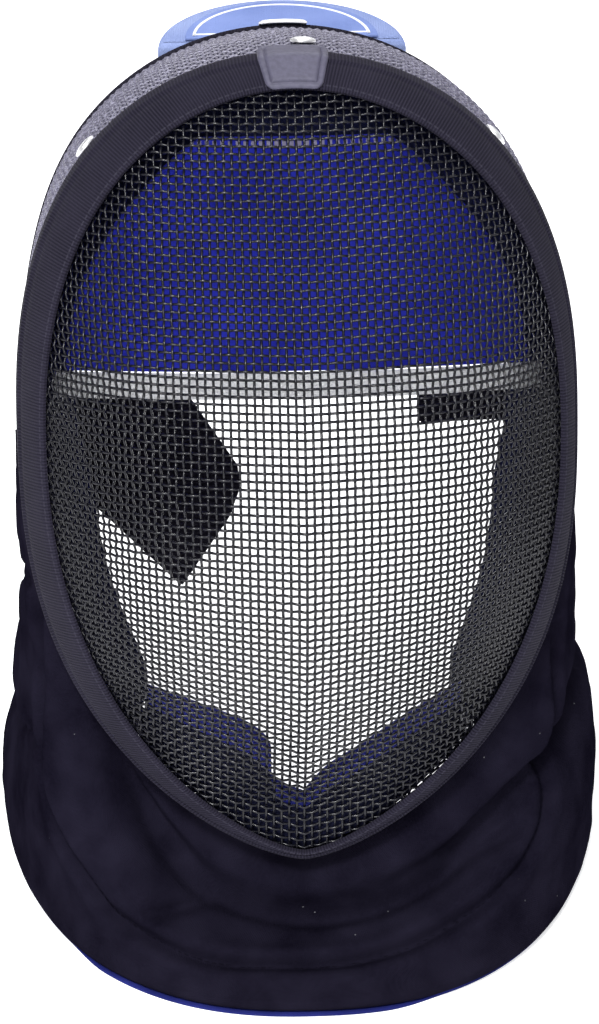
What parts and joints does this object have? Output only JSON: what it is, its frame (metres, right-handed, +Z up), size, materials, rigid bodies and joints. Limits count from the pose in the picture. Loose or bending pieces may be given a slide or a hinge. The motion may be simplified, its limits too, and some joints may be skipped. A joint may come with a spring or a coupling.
{
  "type": "fencing mask",
  "caption": "Black fencing mask with a domed wire-mesh front, wire-mesh sides, ribbed trim, padded bib, inner pads, spring tongue and an open back.",
  "frame": {"origin": "on the surface that the mask stands on, under the middle of its outer box", "axes": "+Z up, +X to the right of someone who looks at the mask's front, +Y from the face to the open back; the mask leans back 19.3 degrees on the hem of its bib"},
  "size_m": [0.2584, 0.3064, 0.3579],
  "materials": {
    "black_mesh": "black painted steel wire, worn to grey on the crowns of the weave",
    "black_binding": "black folded binding",
    "ribbed_trim": "matte charcoal binding with fine cross ribs",
    "grey_vinyl": "stitched grey patch with a soft sheen",
    "bright_steel": "bright plated steel",
    "tongue_blue": "light blue padded cloth",
    "tongue_patch_blue": "blue cloth panel with a plain white border line",
    "blue_lining": "matte royal blue cloth",
    "white_band": "white towelling",
    "navy_lining": "dark navy padded cloth",
    "bib_cloth": "black quilted cloth with stitched seams",
    "black_elastic": "black woven elastic"
  },
  "bodies": {
    "root": {"front_mesh": "black_mesh", "side_mesh": "black_mesh", "back_edge": "black_binding", "trim": "ribbed_trim", "trim_tab": "grey_vinyl", "rivet_top": "bright_steel", "rivet_left": "bright_steel", "rivet_right": "bright_steel", "tongue": "tongue_blue", "tongue_patch": "tongue_patch_blue", "tongue_plate": "bright_steel", "forehead_pad": "blue_lining", "sweat_band": "white_band", "crown_pad": "navy_lining", "side_pad_left": "navy_lining", "side_pad_right": "navy_lining", "chin_pad": "navy_lining", "bib": "bib_cloth", "bib_lining": "blue_lining", "back_strap": "black_elastic", "strap_tab": "black_elastic"}
  },
  "joints": []
}
